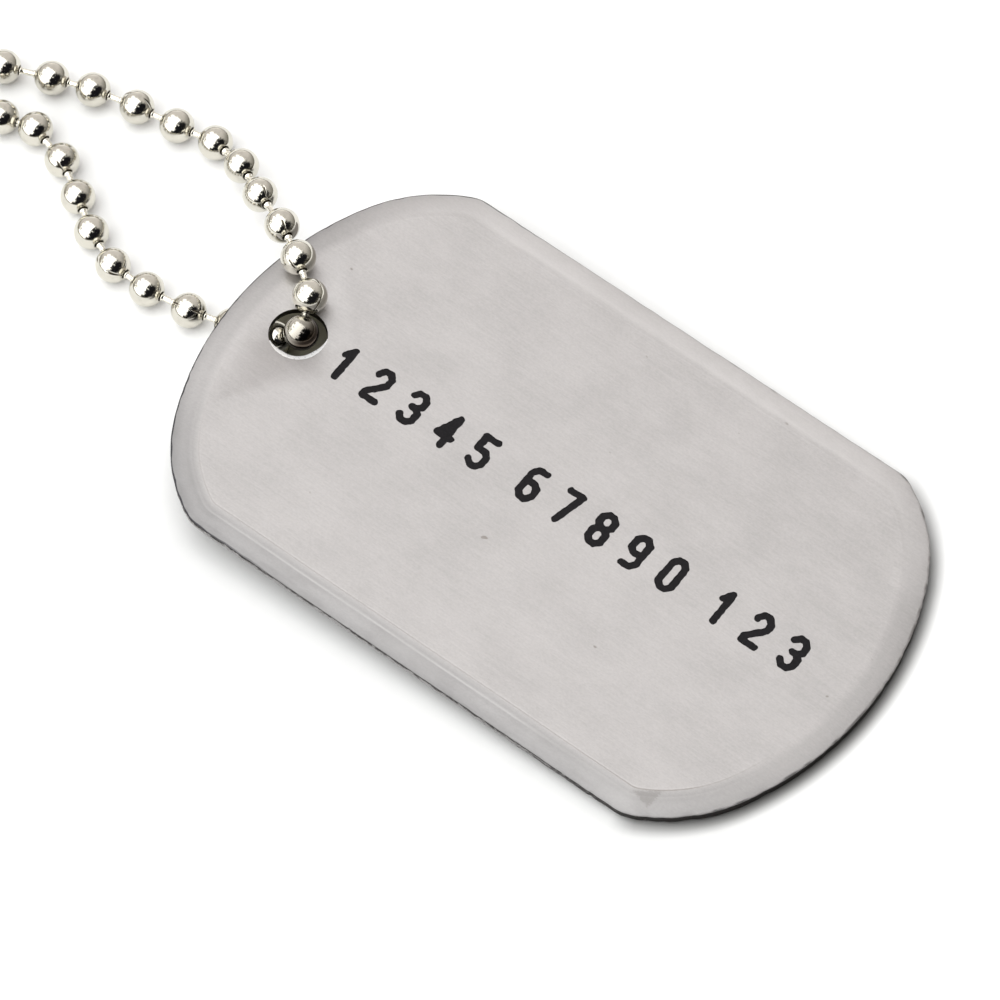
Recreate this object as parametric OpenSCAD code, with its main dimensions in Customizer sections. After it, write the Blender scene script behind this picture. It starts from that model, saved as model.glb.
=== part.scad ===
/* [Tag sheet] */
// Length of the tag from end to end
tag_l = 50; // [44:0.5:60]
// Width of the tag across its straight sides
tag_w = 30.8; // [28:0.2:33]
// Thickness of the sheet
sheet_t = 0.5; // [0.4:0.05:0.7]
// Radius of the middle of each end
end_r = 22.8; // [20:0.2:26]
// Radius of the shoulder on either side of it
shoulder_r = 11.4; // [10:0.2:13]
// How far the round shoulders would reach past the straight sides that cut them
shoulder_past = 1; // [0.4:0.1:1.6]
// Fillet where a shoulder meets a straight side
corner_r = 3; // [2.4:0.2:4]

/* [Turned-down rim] */
// Width of the rim that is turned down
rim_w = 1.8; // [1.2:0.1:2.2]
// Depth by which its edge lies below the face
rim_drop = 0.3; // [0.15:0.05:0.4]

/* [Chain hole] */
// Diameter of the hole
hole_d = 3.8; // [3.6:0.1:5]
// Distance of its centre from the end of the tag
hole_inset = 4.9; // [4.4:0.1:5.6]
// Its offset from the long axis, as punched
hole_side = -0.3; // [-0.5:0.1:0.5]

/* [Stamped figures] */
// Height of a figure
figure_h = 2.8; // [2:0.1:4]
// Width of a figure
figure_w = 1.45; // [1:0.05:1.8]
// Width of a stamped stroke
stroke_w = 0.48; // [0.3:0.02:0.6]
// Depth of the stamping
stamp_depth = 0.12; // [0.05:0.01:0.2]
// Step from one figure to the next
figure_step = 2.75; // [2.4:0.05:2.8]
// Extra space between two groups of figures
group_gap = 1.2; // [0.5:0.1:1.4]
// From the centre of the hole to the first figure
row_start = 3; // [2.8:0.1:4]
// Foot of the first figure, off the long axis
row_side = -1.6; // [-4:0.1:2]
// Slant of the row against the long axis
row_slant = 0.9; // [-2:0.1:2]

/* [Ball chain] */
// Diameter of a ball
ball_d = 2.35; // [2:0.05:2.4]
// Step from ball to ball where the chain lies unstretched
ball_step = 3; // [2.8:0.05:3.2]
// Diameter of the link wire
wire_d = 0.5; // [0.4:0.02:0.56]
// Diameter of the bore through a ball
bore_d = 0.8; // [0.76:0.02:0.9]
// Length of the closed chain, once round
chain_l = 600; // [450:10:640]
// Gap between the tag and the ball that it leans on
seat_gap = 0.02; // [0.01:0.01:0.1]

/* [Loop out of sight] */
// Heading of the loop's long axis, away from the tag
loop_heading = 196.5; // [185:0.5:205]
// Angle by which each strand turns away from that axis
flare = 45; // [35:1:55]
// Radius of that turn
flare_r = 35; // [25:1:45]

/* [Clasp] */
// Gap between each end of the clasp and the first ball outside it
clasp_gap = 0.2; // [0.1:0.05:0.3]
// Thickness of its sheet
clasp_t = 0.25; // [0.2:0.05:0.3]
// Play of a ball that slides in it
clasp_play = 0.3; // [0.2:0.05:0.4]
// Mouth at each end, which a ball can't pass
clasp_mouth_d = 1.3; // [1.1:0.05:1.5]
// Width of the slot along its top
clasp_slot_w = 0.9; // [0.8:0.05:1.1]
// Centre distance of the two balls that it holds
clasp_span = 3.6; // [3:0.1:4]

/* [Hidden] */
$fn = 96;

arc_steps = 12;
ball_fn = 32;
wire_sides = 6;
end_share = 1.06;
ball_r = ball_d / 2;
clasp_bore_d = ball_d + clasp_play;
clasp_d = clasp_bore_d + 2 * clasp_t;

// The largest bend at a ball that its wire takes in one straight bore, less two degrees
single_bore_bend = 2 * asin((bore_d - wire_d) / ball_d) - 2;

// The row of figures, in groups
FIGURES = ["12345", "67890", "123"];

// Balls laid one by one from where the far strand comes into sight, over the tag, down through
// the hole and out under the tag again. dx and dy are measured from the hole's centre. lift is
// the ball's height above the ground as a share of the height of the tag's face at the hole.
DX = 0;
DY = 1;
LIFT = 2;
LAID = [
    [-29.4, 5.95, 0],
    [-26.25, 7.15, 0],
    [-23.45, 8.05, 0],
    [-20.25, 8.7, 0],
    [-17.2, 9.1, 0],
    [-14.3, 9.55, 0],
    [-11.4, 8.65, 0.32],
    [-8.7, 7.2, 0.57],
    [-5.7, 5.7, 0.86],
    [-3.1, 4.1, 1.04],
    [-0.7, 2.2, 1.02],
    [0.1, 0.2, 0.62],
    [-1.75, -0.25, 0],
    [-4.6, -1.15, 0],
    [-7.6, -1.9, 0],
    [-10.8, -2.25, 0],
    [-13.75, -2.1, 0],
    [-16.5, -0.9, 0],
    [-18.95, 0.75, 0],
    [-21.6, 2.4, 0],
    [-24.55, 3.3, 0],
    [-26.95, 2.7, 0],
];
// The laid ball on which the hole's end of the tag leans
PROP = 13;

// Tilt of the tag: one end on the ground, the other on the ball under it
tilt = asin((ball_d + seat_gap) / (tag_l - hole_inset - LAID[PROP][DX]));
hole_x = hole_inset - tag_l / 2;
face_z = rim_drop + sheet_t;

// A point of the tag, carried from the tag's own place to where it lies
function tag_point(p) = [
    tag_l / 2 + (p.x - tag_l / 2) * cos(tilt) + p.z * sin(tilt),
    p.y,
    (tag_l / 2 - p.x) * sin(tilt) + p.z * cos(tilt)
];

// Arcs of one quarter of the outline as [centre, radius, from, to]
mid_c = [tag_l / 2 - end_r, 0];
shoulder_y = tag_w / 2 + shoulder_past - shoulder_r;
shoulder_from = asin(shoulder_y / (end_r - shoulder_r));
shoulder_c = mid_c + [(end_r - shoulder_r) * cos(shoulder_from), shoulder_y];
corner_y = tag_w / 2 - corner_r;
corner_x = shoulder_c.x + sqrt(pow(shoulder_r - corner_r, 2) - pow(corner_y - shoulder_c.y, 2));
corner_c = [corner_x, corner_y];
corner_from = atan2(corner_y - shoulder_c.y, corner_x - shoulder_c.x);
ARCS = [
    [mid_c, end_r, 0, shoulder_from],
    [shoulder_c, shoulder_r, shoulder_from, corner_from],
    [corner_c, corner_r, corner_from, 90]
];

// Corner points of one quarter, from the end's tip to the long side, all inset by the same amount
function quarter(inset) = [
    for (arc = ARCS, k = [0 : arc_steps])
        if (k > 0 || arc[2] == 0)
            let (a = arc[2] + (arc[3] - arc[2]) * k / arc_steps)
            arc[0] + (arc[1] - inset) * [cos(a), sin(a)]
];

module outline(inset) {
    q = quarter(inset);
    n = len(q);
    polygon(concat(
        q,
        [for (k = [n - 1 : -1 : 0]) [-q[k].x, q[k].y]],
        [for (k = [1 : n - 1]) [-q[k].x, -q[k].y]],
        [for (k = [n - 1 : -1 : 1]) [q[k].x, -q[k].y]]
    ));
}

// A low dome with a flat top at height top and the rim's slope all round, which goes on outside
// the outline by reach
module dome(top, reach) {
    edge = top - rim_drop - reach * rim_drop / rim_w;
    hull() {
        translate([0, 0, -face_z]) linear_extrude(edge + face_z) outline(-reach);
        translate([0, 0, -face_z]) linear_extrude(top + face_z) outline(rim_w);
    }
}

// The sheet between two such domes, one a sheet's thickness below the other
module bent_sheet() {
    difference() {
        dome(face_z, 0);
        translate([0, 0, -sheet_t]) dome(face_z, rim_w / 2);
    }
}

// Centre lines of the figures 0 to 9 on a cell one wide and one high, each a list of strokes.
// west and east are where a stroke along the top or the foot begins to bend into a side.
west = 0.3;
east = 1 - west;
ZERO = [
    [[west, 0], [east, 0], [1, 0.15], [1, 0.85], [east, 1], [west, 1], [0, 0.85], [0, 0.15], [west, 0]]
];
ONE = [
    [[0.15, 0.75], [0.55, 1], [0.55, 0]]
];
TWO = [
    [[0, 0.8], [0, 0.85], [west, 1], [east, 1], [1, 0.85], [1, 0.62], [0, 0.15], [0, 0], [1, 0]]
];
THREE = [
    [[0, 0.86], [west, 1], [east, 1], [1, 0.86], [1, 0.64], [east, 0.52], [0.4, 0.52]],
    [[east, 0.52], [1, 0.4], [1, 0.14], [east, 0], [west, 0], [0, 0.14]]
];
FOUR = [
    [[0.75, 0], [0.75, 1], [0, 0.3], [1.05, 0.3]]
];
FIVE = [
    [[1, 1], [0.05, 1], [0.05, 0.56], [east, 0.56], [1, 0.42], [1, 0.14], [east, 0], [west, 0], [0, 0.12]]
];
SIX = [
    [[0.9, 1], [west, 1], [0, 0.8], [0, 0.15], [west, 0], [east, 0], [1, 0.15], [1, 0.42]],
    [[1, 0.42], [east, 0.55], [0.2, 0.55]]
];
SEVEN = [
    [[0, 1], [1, 1], [0.4, 0]]
];
EIGHT = [
    [[west, 0.53], [east, 0.53], [1, 0.66], [1, 0.87], [east, 1], [west, 1], [0, 0.87], [0, 0.66]],
    [[0, 0.66], [west, 0.53], [0, 0.4], [0, 0.14], [west, 0], [east, 0], [1, 0.14], [1, 0.4], [east, 0.53]]
];
NINE = [
    [[0.1, 0], [east, 0], [1, 0.2], [1, 0.85], [east, 1], [west, 1], [0, 0.85], [0, 0.58]],
    [[0, 0.58], [west, 0.45], [0.8, 0.45]]
];
CELLS = [ZERO, ONE, TWO, THREE, FOUR, FIVE, SIX, SEVEN, EIGHT, NINE];

// A straight stroke with round ends, a little wider than the stroke, so that their outlines cross
module stroke(a, b) {
    along = b - a;
    translate(a) circle(d = end_share * stroke_w, $fn = 16);
    translate(b) circle(d = end_share * stroke_w, $fn = 16);
    translate(a) rotate(atan2(along.y, along.x))
        translate([0, -stroke_w / 2]) square([norm(along), stroke_w]);
}

// A point of the cell, carried to the figure's own size
function in_figure(p) = [
    stroke_w / 2 + p.x * (figure_w - stroke_w),
    stroke_w / 2 + p.y * (figure_h - stroke_w)
];

module figure(n) {
    for (line = CELLS[n], k = [1 : len(line) - 1]) stroke(in_figure(line[k - 1]), in_figure(line[k]));
}

// Figures before the first one of group g
function figures_before(g) = g == 0 ? 0 : len(FIGURES[g - 1]) + figures_before(g - 1);

module figure_row() {
    for (g = [0 : len(FIGURES) - 1], k = [0 : len(FIGURES[g]) - 1])
        translate([(figures_before(g) + k) * figure_step + g * group_gap, 0])
            figure(ord(FIGURES[g][k]) - ord("0"));
}

// Chain: the laid balls, then the two strands of the loop, which meet at the clasp
hole_at = tag_point([hole_x, hole_side, face_z]);
laid = [for (b = LAID) [hole_at.x + b[DX], hole_at.y + b[DY], ball_r + b[LIFT] * hole_at.z]];
laid_l = path_length(laid);
function path_length(p, k = 1) = k == len(p) ? 0 : norm(p[k] - p[k - 1]) + path_length(p, k + 1);

// The loop is a drop: each strand leaves along the axis, turns off by the flare angle, runs
// straight and joins the round end. Its radius follows from the length that is left.
ahead = [cos(loop_heading), sin(loop_heading)];
aside = [-ahead.y, ahead.x];
far_end = laid[0];
near_end = laid[len(laid) - 1];
function flat(p) = [p.x, p.y];
span = flat(far_end - near_end);
lead = span * ahead;
half_gap = abs(span * aside) / 2;
axis_start = flat(far_end) - (span * aside) / 2 * aside;
side_l = (chain_l - laid_l - abs(lead)) / 2;
turn_l = flare_r * flare * PI / 180;
turn_out = half_gap + flare_r * (1 - cos(flare));
loop_r = (side_l - turn_l + turn_out / sin(flare)) / (1 / tan(flare) + PI / 2 + flare * PI / 180);
straight_l = (loop_r * cos(flare) - turn_out) / sin(flare);
loop_c = flare_r * sin(flare) + straight_l * cos(flare) + loop_r * sin(flare);

// Place on one strand, s along it, as [along the axis, off the axis]
function strand(s) =
    s < 0 ? [s, half_gap]
    : s < turn_l ? on_turn(s / flare_r * 180 / PI)
    : s < turn_l + straight_l ? on_turn(flare) + (s - turn_l) * [cos(flare), sin(flare)]
    : on_round((s - turn_l - straight_l) / loop_r * 180 / PI);
function on_turn(a) = [flare_r * sin(a), half_gap + flare_r * (1 - cos(a))];
function on_round(a) = [loop_c - loop_r * sin(flare - a), loop_r * cos(flare - a)];

// Balls of one strand from start on: the last one lies inside the clasp, at the clasp's height
last_s = side_l - clasp_span / 2;
function strand_balls(start, hand) =
    let (n = round((last_s - start) / ball_step), step = (last_s - start) / n)
    [
        for (k = [1 : n])
            let (p = strand(start + k * step), at = axis_start + p.x * ahead + hand * p.y * aside)
            [at.x, at.y, k == n ? clasp_d / 2 : ball_r]
    ];
far_hand = sign(span * aside);
far_balls = strand_balls(0, far_hand);
near_balls = strand_balls(-lead, -far_hand);
function reversed(p) = [for (k = [len(p) - 1 : -1 : 0]) p[k]];

// Centre of every ball, from one end of the chain to the other, both held by the clasp
placed = concat(reversed(far_balls), laid, near_balls);

// The origin is on the ground, below the middle of the whole piece
tag_reach = tag_point([tag_l / 2, 0, sheet_t]).x;
function lowest(k) = min([for (b = placed) b[k]]) - ball_r;
function highest(k) = max([for (b = placed) b[k]]) + ball_r;
middle = [(lowest(0) + tag_reach) / 2, (min(lowest(1), -tag_w / 2) + max(highest(1), tag_w / 2)) / 2, 0];
balls = [for (b = placed) b - middle];

function unit(p) = p / norm(p);
function previous(k) = balls[max(k - 1, 0)];
function following(k) = balls[min(k + 1, len(balls) - 1)];
function bend(k) =
    k == 0 || k == len(balls) - 1 ? 0
    : acos(min(1, unit(balls[k] - previous(k)) * unit(following(k) - balls[k])));

// Sets a piece at a point, with its +Z in the direction along and its +X on the side of beside
module set_on(at, along, beside) {
    z = unit(along);
    x = unit(beside - (beside * z) * z);
    y = cross(z, x);
    multmatrix([[x.x, y.x, z.x, at.x], [x.y, y.y, z.y, at.y], [x.z, y.z, z.z, at.z]]) children();
}

// A ball drilled for its links: straight through, or from both sides at an angle where the
// chain turns sharply
module ball(k) {
    if (bend(k) < single_bore_bend) {
        set_on(balls[k], following(k) - previous(k), [0, 0, 1]) difference() {
            sphere(ball_r, $fn = ball_fn);
            cylinder(h = 2 * ball_d, d = bore_d, center = true, $fn = ball_fn);
        }
    } else {
        set_on(balls[k], previous(k) - balls[k], balls[k] - following(k)) difference() {
            sphere(ball_r, $fn = ball_fn);
            bore_from_centre();
            rotate([0, bend(k) - 180, 0]) bore_from_centre();
        }
    }
}

module bore_from_centre() {
    translate([0, 0, -bore_d / 4]) cylinder(h = ball_d, d = bore_d, $fn = ball_fn);
}

// Rings of the link wire: one at each ball's centre, square to the chain's run there
function ring(k) =
    let (
        run = unit(following(k) - previous(k)),
        right = unit(cross([0, 0, 1], run)),
        up = cross(run, right)
    )
    [
        for (j = [0 : wire_sides - 1])
            let (a = j * 360 / wire_sides)
            balls[k] + wire_d / 2 * (cos(a) * right + sin(a) * up)
    ];

module tag_plate() {
    color("silver") translate(-middle) laid_down() difference() {
        bent_sheet();
        translate([hole_x, hole_side, 0]) cylinder(h = 4 * face_z, d = hole_d, center = true);
        translate([hole_x + row_start, row_side, face_z - stamp_depth]) rotate(row_slant)
            linear_extrude(2 * stamp_depth) figure_row();
    }
}

// Lays the tag down on its prop, turned about its far end's lower edge
module laid_down() {
    translate([tag_l / 2, 0, 0]) rotate([0, tilt, 0]) translate([-tag_l / 2, 0, 0]) children();
}

module chain_balls() {
    color("gainsboro") for (k = [0 : len(balls) - 1]) ball(k);
}

module chain_links() {
    n = len(balls);
    rings = [for (k = [0 : n - 1]) each ring(k)];
    first = [for (j = [0 : wire_sides - 1]) j];
    last = [for (j = [wire_sides - 1 : -1 : 0]) (n - 1) * wire_sides + j];
    sides = [
        for (k = [0 : n - 2], j = [0 : wire_sides - 1])
            let (a = k * wire_sides + j, b = k * wire_sides + (j + 1) % wire_sides)
            [b, a, a + wire_sides, b + wire_sides]
    ];
    color("whitesmoke") polyhedron(rings, concat([first, last], sides));
}

// The clasp: a short tube, drawn in at both ends, with a slot along its top
module chain_clasp() {
    first_ball = balls[0];
    last_ball = balls[len(balls) - 1];
    run = last_ball - first_ball;
    outside = norm(flat(balls[1] - first_ball)) - ball_r;
    clasp_l = norm(run) + 2 * (outside - clasp_gap);
    nose = (clasp_d - clasp_mouth_d) / 2;
    color("silver") translate((first_ball + last_ball) / 2) rotate([0, 90, atan2(run.y, run.x)])
        difference() {
            rotate_extrude() polygon([
                [clasp_mouth_d / 2, clasp_l / 2],
                [clasp_bore_d / 2, clasp_l / 2 - nose],
                [clasp_bore_d / 2, nose - clasp_l / 2],
                [clasp_mouth_d / 2, -clasp_l / 2],
                [clasp_mouth_d / 2 + clasp_t, -clasp_l / 2],
                [clasp_d / 2, clasp_t + nose / 2 - clasp_l / 2],
                [clasp_d / 2, clasp_l / 2 - clasp_t - nose / 2],
                [clasp_mouth_d / 2 + clasp_t, clasp_l / 2]
            ]);
            translate([-clasp_d, -clasp_slot_w / 2, nose - clasp_l / 2])
                cube([clasp_d, clasp_slot_w, clasp_l - 2 * nose]);
        }
}

tag_plate();
chain_balls();
chain_links();
chain_clasp();
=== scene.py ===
import math

import bmesh
import bpy
import numpy as np
from mathutils import Matrix, Vector
from mathutils.geometry import delaunay_2d_cdt


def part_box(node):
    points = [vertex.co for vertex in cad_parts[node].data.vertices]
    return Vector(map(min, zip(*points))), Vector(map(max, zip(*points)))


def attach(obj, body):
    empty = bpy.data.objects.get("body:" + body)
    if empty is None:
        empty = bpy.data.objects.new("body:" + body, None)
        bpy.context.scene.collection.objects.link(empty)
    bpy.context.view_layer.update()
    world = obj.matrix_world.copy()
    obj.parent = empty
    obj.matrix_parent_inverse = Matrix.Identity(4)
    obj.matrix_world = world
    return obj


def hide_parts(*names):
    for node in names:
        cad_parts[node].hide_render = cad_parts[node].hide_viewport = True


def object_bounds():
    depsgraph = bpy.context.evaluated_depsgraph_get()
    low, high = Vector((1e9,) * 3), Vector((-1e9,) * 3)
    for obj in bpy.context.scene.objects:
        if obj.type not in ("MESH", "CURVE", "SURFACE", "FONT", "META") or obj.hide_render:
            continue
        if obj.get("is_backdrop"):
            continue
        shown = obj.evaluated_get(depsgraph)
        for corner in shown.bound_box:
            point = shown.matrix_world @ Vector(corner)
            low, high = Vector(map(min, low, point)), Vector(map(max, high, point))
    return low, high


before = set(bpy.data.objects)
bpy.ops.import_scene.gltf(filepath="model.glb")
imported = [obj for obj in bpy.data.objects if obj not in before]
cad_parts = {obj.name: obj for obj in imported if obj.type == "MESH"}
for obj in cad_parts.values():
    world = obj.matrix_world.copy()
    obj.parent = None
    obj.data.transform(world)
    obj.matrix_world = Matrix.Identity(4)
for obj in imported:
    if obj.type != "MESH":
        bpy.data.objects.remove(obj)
cad_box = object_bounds()

MM = 0.001
RANDOM_SEED = 11

# The tag in its own place, in millimetres: x along it, y across it, z up from its edge
TAG_L = 50
TAG_W = 30.8
SHEET_T = 0.5
END_R = 22.8
SHOULDER_R = 11.4
SHOULDER_PAST = 1
CORNER_R = 3
RIM_W = 1.8
RIM_DROP = 0.3
RIM_SLOPE = 3  # degrees, just outside the crease
EDGE_FILLET = 0.07
FACE_Z = RIM_DROP + SHEET_T
OUTLINE_STEP = 0.2

# The ragged edge: how far its burrs and its sway run, in steps of the outline, how deep it
# sways in millimetres, and how strong a burr may be and a nick begins, in spreads of the noise
BURR_RUN = 1.3
SWAY_RUN = 9
SWAY_DEPTH = 0.006
BURR_MOST = 3
NICK_FROM = 2.1

# The hole, the number of points round it, and its lip, which leans inwards on the near side
HOLE_R = 1.9
HOLE_X = 4.9 - TAG_L / 2
HOLE_Y = -0.3
HOLE_SIDES = 128
LIP_ROUND = 0.05
LIP_REACH = 0.4
LIP_FALL = 0.4  # as a share of how far the lip leans inwards

# Corners of a patch of rim painted in shade, standing in for a small flat facet, and the inset of points
# far from the outline
SHADED_FACET = [(16.76, -13.76), (18.13, -14.12), (18.25, -12.69)]
FAR_INSET = 5.0

# The spot of ground seen through the hole, and the spot of the ball in it where painted shade is
# darkest, in metres
SHADED_GROUND = (0.0872, 0.0318, 0)
SHADED_BALL_SPOT = (0.0898, 0.0304, 0.0026)

# The row of stamped figures, in millimetres
FIGURE_H = 2.8
FIGURE_W = 1.45
STROKE_W = 0.48
STAMP_DEPTH = 0.12
FIGURE_STEP = 2.75
GROUP_GAP = 1.2
ROW_START = 3
ROW_SIDE = -1.6
ROW_SLANT = 0.9  # degrees
INK_BELOW_FACE = 0.02
INK_ABOVE_FLOOR = 0.004

# The chain, in millimetres: a ball and its mouths, and how far from the ball's centre the floor
# of a mouth and the end of the wire in it lie
BALL_R = 1.175
MOUTH_R = 0.36
MOUTH_FLOOR = 0.6
WIRE_END = BALL_R - 0.45

# A ball's seam: its depth in millimetres at some turns from its middle, in radians, and the
# turns at which it has points
SEAM_TURNS = [0, 0.028, 0.05]
SEAM_DEPTHS = [0.06, 0.04, 0]
SEAM_LINES = [-0.052, -0.03, 0, 0.03, 0.052]

# How far from the ball's middle its seam begins to open, and over what length, both as shares
# of its radius
SEAM_OPENS = 0.28
SEAM_OPEN_OVER = 0.35

# Points round a ball and bands over it, near the tag and elsewhere, and points round a wire
NEAR_SEGMENTS, NEAR_BANDS = 48, 26
FAR_SEGMENTS, FAR_BANDS = 24, 12
WIRE_SIDES = 16

# The camera: its place in metres, where it looks from in degrees, its lens in millimetres
CAMERA_AT = (0.252011, -0.164523, 0.399327)
CAMERA_AZIMUTH = 37.0205
CAMERA_ELEVATION = 58.6866
CAMERA_ROLL = -0.2965
CAMERA_LENS = 261.34

# The floor's half side in millimetres, and the turn of the bright cloth's edge in degrees
FLOOR_REACH = 20000
CLOTH_LEAN = -38.5


def directions(azimuth, elevation, roll):
    """Right, up and back of a camera that looks from this azimuth and elevation, in degrees."""
    turn, rise, tilt = (math.radians(angle) for angle in (azimuth, elevation, roll))
    out = math.cos(rise)
    back = Vector((math.sin(turn) * out, -math.cos(turn) * out, math.sin(rise)))
    level = Vector((math.cos(turn), math.sin(turn), 0))
    upright = back.cross(level)
    right = level * math.cos(tilt) + upright * math.sin(tilt)
    return right, back.cross(right), back


SIGHT_RIGHT, SIGHT_UP, SIGHT_BACK = directions(CAMERA_AZIMUTH, CAMERA_ELEVATION, CAMERA_ROLL)


# Materials: places along and across the tag are in metres here, and insets in millimetres

class Nodes:
    """A node tree, built one node at a time. An input is a plain value or another node's output."""

    def __init__(self, owner):
        owner.use_nodes = True
        self.tree = owner.node_tree
        self.tree.nodes.clear()

    def put(self, socket, value):
        """Gives a socket its value, or links it to another node's output."""
        if isinstance(value, bpy.types.NodeSocket):
            self.tree.links.new(value, socket)
        else:
            socket.default_value = value

    def add(self, kind, inputs=(), output=0, **settings):
        node = self.tree.nodes.new(kind)
        for name, value in settings.items():
            setattr(node, name, value)
        for name, value in dict(inputs).items():
            self.put(node.inputs[name], value)
        return node.outputs[output]

    def math(self, operation, *values):
        return self.add("ShaderNodeMath", enumerate(values), operation=operation)

    def times(self, first, *others):
        for value in others:
            first = self.math("MULTIPLY", first, value)
        return first

    def plus(self, first, *others):
        for value in others:
            first = self.math("ADD", first, value)
        return first

    def remap(self, value, low, high, to_low=0.0, to_high=1.0, smooth=True):
        """Carries low to to_low and high to to_high, and stays there outside them."""
        ends = {
            "Value": value, "From Min": low, "From Max": high, "To Min": to_low, "To Max": to_high,
        }
        kind = "SMOOTHSTEP" if smooth else "LINEAR"
        return self.add("ShaderNodeMapRange", ends, interpolation_type=kind)

    def spread(self, noise, low, high):
        """Noise stretched so that it runs from low to high."""
        return self.remap(noise, 0.3, 0.7, low, high)

    def window(self, value, low, high, soft):
        """One between low and high, and nought outside them."""
        rise = self.remap(value, low - soft, low + soft)
        return self.times(rise, self.remap(value, high - soft, high + soft, 1.0, 0.0))

    def blend(self, share, first, second):
        """A colour between two, by share."""
        node = self.tree.nodes.new("ShaderNodeMix")
        node.data_type = "RGBA"
        for socket, value in ((0, share), (6, first), (7, second)):
            self.put(node.inputs[socket], value)
        return node.outputs[2]

    def noise(self, place, scale, detail=2.0, roughness=0.5):
        """Noise with this many waves in a millimetre, along each of the three axes."""
        stretched = self.add("ShaderNodeVectorMath", {0: place, 1: scale}, operation="MULTIPLY")
        inputs = {
            "Vector": stretched, "Scale": 1000.0, "Detail": detail, "Roughness": roughness,
        }
        return self.add("ShaderNodeTexNoise", inputs)

    def place(self):
        return self.add("ShaderNodeTexCoord", output=3)

    def coordinate(self, place, axis):
        return self.add("ShaderNodeSeparateXYZ", {0: place}, output=axis)

    def attribute(self, name):
        return self.add("ShaderNodeAttribute", output=2, attribute_name=name)

    def vector_math(self, operation, first, second):
        """The one number that an operation on two vectors gives."""
        inputs = {0: first, 1: tuple(second)}
        return self.add("ShaderNodeVectorMath", inputs, operation=operation, output=1)

    def left_of(self, place, start, end):
        """Millimetres to the left of the line from start to end, seen from above."""
        run = Vector(end) - Vector(start)
        left = Vector((-run.y, run.x, 0)).normalized()
        reached = self.vector_math("DOT_PRODUCT", place, left / MM)
        return self.math("SUBTRACT", reached, left.x * start[0] + left.y * start[1])

    def bump(self, strength, distance, height):
        inputs = {"Strength": strength, "Distance": distance, "Height": height}
        return self.add("ShaderNodeBump", inputs)

    def surface(self, **inputs):
        """The finished surface. An input's name has its spaces as underscores here."""
        named = {name.replace("_", " "): value for name, value in inputs.items()}
        self.add_output("ShaderNodeOutputMaterial", self.add("ShaderNodeBsdfPrincipled", named))

    def add_output(self, kind, shader):
        node = self.tree.nodes.new(kind)
        self.tree.links.new(shader, node.inputs["Surface"])


def new_material(name):
    """A new material, its nodes, and the place on the object that is shaded."""
    material = bpy.data.materials.new(name)
    nodes = Nodes(material)
    return material, nodes, nodes.place()


def brushed_steel():
    """The tag's upper side: fine streaks along it, faint mottling, specks, and painted light and shade
    on its rim, crease and edge.
    """
    material, nodes, place = new_material("brushed_steel")
    streaks = nodes.noise(place, (0.45, 7.0, 7.0), detail=4, roughness=0.7)
    mottle = nodes.noise(place, (0.22, 0.3, 0.3), detail=6, roughness=0.62)
    grain = nodes.noise(place, (5.0, 9.0, 9.0), detail=3, roughness=0.7)
    specks = nodes.noise(place, (1.1, 1.7, 1.7), detail=1.5, roughness=0.4)
    tone = nodes.plus(
        nodes.spread(streaks, -0.055, 0.055), nodes.spread(mottle, -0.07, 0.07),
        nodes.spread(grain, -0.05, 0.05), 0.5,
    )
    colour = nodes.blend(tone, (0.27, 0.263, 0.262, 1), (0.745, 0.722, 0.72, 1))
    speck = nodes.times(nodes.remap(specks, 0.78, 0.83), 0.7)
    colour = nodes.blend(speck, colour, (0.26, 0.235, 0.215, 1))
    colour = rim_light_and_shade(nodes, place, mottle, colour)
    colour = near_crease(nodes, place, mottle, colour)
    colour = edge_shade_line(nodes, place, colour)
    colour = facet_shade(nodes, place, grain, colour)
    height = nodes.plus(nodes.times(streaks, 0.5), nodes.times(grain, 0.5))
    nodes.surface(
        Base_Color=colour,
        Metallic=1.0,
        Roughness=nodes.plus(nodes.spread(streaks, 0.46, 0.54), nodes.spread(mottle, -0.03, 0.03)),
        Normal=nodes.bump(0.25, 0.00002, height),
        Anisotropic=0.45,
        Tangent=nodes.add("ShaderNodeCombineXYZ", {0: 1.0, 1: 0.0, 2: 0.0}),
    )
    return material


def near_side(nodes, place):
    """One along the tag's near side, and nought over the rest of it."""
    return nodes.remap(nodes.coordinate(place, 1), -0.013, -0.005, 1.0, 0.0)


def rim_light_and_shade(nodes, place, mottle, colour):
    """The rim in painted shade, darker than the face, most of all on the near side, with a painted
    highlight on the far side.
    """
    inset = nodes.attribute("inset")
    along, across = nodes.coordinate(place, 0), nodes.coordinate(place, 1)
    far_side = nodes.times(
        nodes.remap(across, 0.006, 0.013), nodes.remap(along, 0.012, 0.020, 1.0, 0.4),
        nodes.remap(along, -0.022, -0.014, 0.4, 1.0),
    )
    hole_end = nodes.remap(along, -0.018, -0.008, 1.0, 0.0)
    near_shade = nodes.plus(nodes.remap(along, 0.014, 0.021, 0.32, 0.22), nodes.times(hole_end, 0.08))
    near_shade = nodes.times(near_side(nodes, place), near_shade)
    outer_shade = nodes.plus(nodes.remap(inset, 0.0, 0.9, 0.16, 0.0), nodes.spread(mottle, 0.18, 0.28))
    not_far = nodes.math("SUBTRACT", nodes.remap(along, 0.010, 0.018, 1.0, 0.75), far_side)
    rim_shade = nodes.plus(near_shade, nodes.times(outer_shade, not_far))
    rim_shade = nodes.times(rim_shade, nodes.remap(inset, RIM_W - 0.7, RIM_W + 0.1, 1.0, 0.0))
    # Painted highlight on the far side of the rim
    bright = nodes.times(
        far_side, nodes.remap(inset, RIM_W - 0.5, RIM_W, 0.3, 0.05),
        nodes.remap(inset, RIM_W + 0.06, RIM_W + 0.14, 1.0, 0.0),
    )
    # Painted shade over the rim, then the painted highlight on its far side
    colour = nodes.blend(rim_shade, colour, (0.16, 0.158, 0.16, 1))
    return nodes.blend(bright, colour, (0.95, 0.94, 0.94, 1))


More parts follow.
